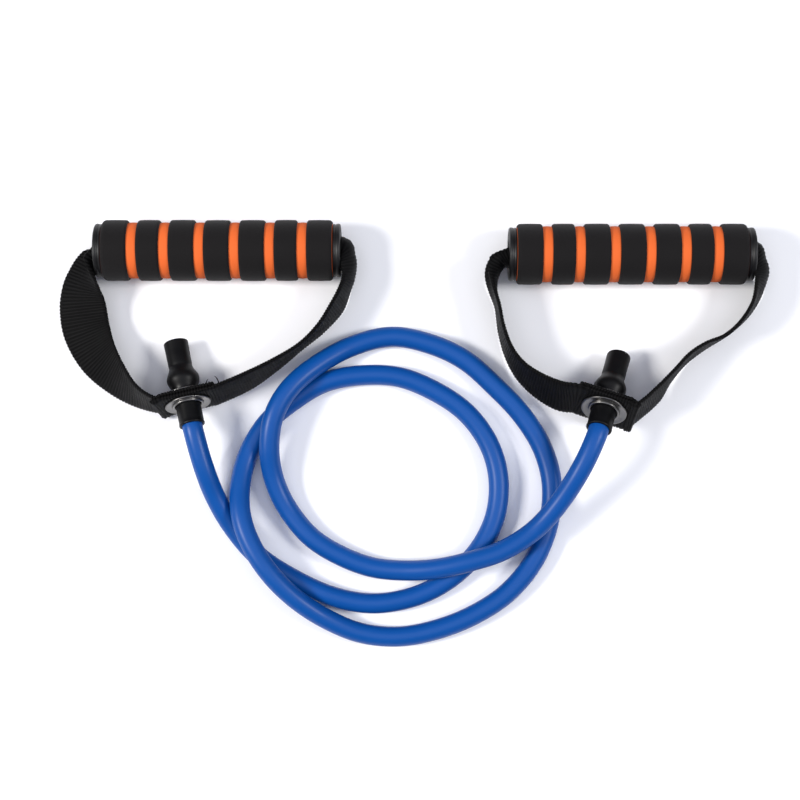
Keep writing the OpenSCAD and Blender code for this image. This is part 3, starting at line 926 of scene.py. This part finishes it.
class BAND_OT_grommets(bpy.types.Operator):
    """Grommets: an eyelet with a flange and a rolled lip, and the washer that it is rolled over"""

    bl_idname = "band.grommets"
    bl_label = "Grommets"

    def execute(self, context):
        sizes = settings("grommet")
        steel = finish_material(
            "Plated Steel", sizes.colour, tone=0.2, rough=(0.27, 0.4), group="grain",
            values={"Grain": 1800.0, "Patch": 260.0}, bump=(0.18, 0.00008),
            sockets={"Metallic": 1.0})
        web = settings("strap").thickness
        b, r, plate = sizes.bore / 2, sizes.diameter / 2, sizes.plate
        wall, curl, rim, lip = 0.75 * MM, 0.62 * MM, 0.35 * MM, plate * 0.8
        o = b + wall
        front, back = -web - plate, web + plate
        # Rolled lip, barrel, flange with a rounded rim, dished face, rounded mouth.
        eyelet = bend(front - 0.08 * MM, o - 0.02 * MM, curl, wall, 270, 90, 12)
        eyelet += [(web, o), (web, r - 0.5 * MM)]
        eyelet += bend(web + plate / 2, r - plate / 2, plate / 2, plate / 2, 160, 20, 6)
        eyelet += [(back, r - plate), (back - 0.08 * MM, b + 1.6 * MM)]
        eyelet += bend(back - lip, b + lip, lip, lip, 0, -90, 6)
        # The washer's hole, its slightly hollow face and its rounded rim.
        hole = o + 0.02 * MM
        washer = [(front + plate, hole), (front + 0.25 * MM, hole),
                  (front + 0.28 * MM, o + 1.0 * MM), (front + 0.2 * MM, r - 1.5 * MM),
                  (front, r - 1.0 * MM)]
        washer += bend(front + rim, r - rim, rim, rim, 180, 90, 5)
        washer += [(front + plate, r)]
        for name in SIDES:
            centre, axis = swivel(name)
            for part, profile in (("eyelet", eyelet), ("washer", washer)):
                piece = revolve(f"{name}_{part}_skin", centre, axis, profile, around=120)
                place(piece, f"{name}_strap_loop", "grommet_steel", steel, f"{name}_{part}")
        return {"FINISHED"}


# ---- Stage ----

def area_light(name, power, spot, target, wide, colour):
    """A square area light at spot, turned towards target."""
    data = bpy.data.lights.new(name, "AREA")
    data.energy, data.size, data.color = power, wide, colour
    light = bpy.data.objects.new(name, data)
    light.location = spot
    light.rotation_euler = (Vector(target) - Vector(spot)).to_track_quat("-Z", "Y").to_euler()
    bpy.context.scene.collection.objects.link(light)


class BAND_OT_stage(bpy.types.Operator):
    """Pale floor, soft studio light and a plain background"""

    bl_idname = "band.stage"
    bl_label = "Stage"

    def execute(self, context):
        sizes = settings("stage")
        scene = context.scene
        scene.view_settings.view_transform = "Standard"
        world = bpy.data.worlds.new("Studio")
        world.use_nodes = True
        background = world.node_tree.nodes["Background"]
        background.inputs["Color"].default_value = (0.74, 0.78, 1, 1)
        background.inputs["Strength"].default_value = 0.21
        scene.world = world
        mesh = bpy.data.meshes.new("Floor")
        reach, z = 3.0, -0.0002
        mesh.from_pydata([(-reach, -reach, z), (reach, -reach, z), (reach, reach, z),
                          (-reach, reach, z)], [], [(0, 1, 2, 3)])
        floor = bpy.data.objects.new("Floor", mesh)
        scene.collection.objects.link(floor)
        paper = bpy.data.materials.new("Floor Paper")
        paper.use_nodes = True
        shader = paper.node_tree.nodes["Principled BSDF"]
        shader.inputs["Base Color"].default_value = (*sizes.floor, 1)
        shader.inputs["Roughness"].default_value = 0.9
        shader.inputs["Specular IOR Level"].default_value = 0.1
        mesh.materials.append(paper)
        for name, light in LIGHTS.items():
            area_light(name, getattr(sizes, name.lower()), *light)
        return {"FINISHED"}


# ---- Panel and registration ----

OPERATORS = (BAND_OT_camera, BAND_OT_tube, BAND_OT_sleeves, BAND_OT_grips, BAND_OT_caps,
             BAND_OT_straps, BAND_OT_grommets, BAND_OT_stage)
GROUP_TYPES = {"tube": BandTubeSettings, "grip": BandGripSettings, "strap": BandStrapSettings,
               "grommet": BandGrommetSettings, "stage": BandStageSettings}


class BAND_PT_panel(bpy.types.Panel):
    """Lists the band's settings and the operators that build it"""

    bl_idname = "BAND_PT_panel"
    bl_label = "Resistance Band"
    bl_space_type = "VIEW_3D"
    bl_region_type = "UI"
    bl_category = "Band"

    def draw(self, context):
        for kind in GROUP_TYPES:
            box = self.layout.box()
            box.label(text=kind.capitalize())
            for label in GROUP_TYPES[kind].__annotations__:
                box.prop(settings(kind), label)
        for operator in OPERATORS:
            self.layout.operator(operator.bl_idname)


CLASSES = (*GROUP_TYPES.values(), *OPERATORS, BAND_PT_panel)


def register():
    for cls in CLASSES:
        bpy.utils.register_class(cls)
    for kind, group in GROUP_TYPES.items():
        setattr(bpy.types.Scene, f"band_{kind}", bpy.props.PointerProperty(type=group))


def unregister():
    for kind in GROUP_TYPES:
        delattr(bpy.types.Scene, f"band_{kind}")
    for cls in reversed(CLASSES):
        bpy.utils.unregister_class(cls)


def main():
    """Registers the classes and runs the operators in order."""
    register()
    for operator in OPERATORS:
        getattr(bpy.ops.band, operator.bl_idname.split(".")[1])()


if __name__ == "__main__":
    main()
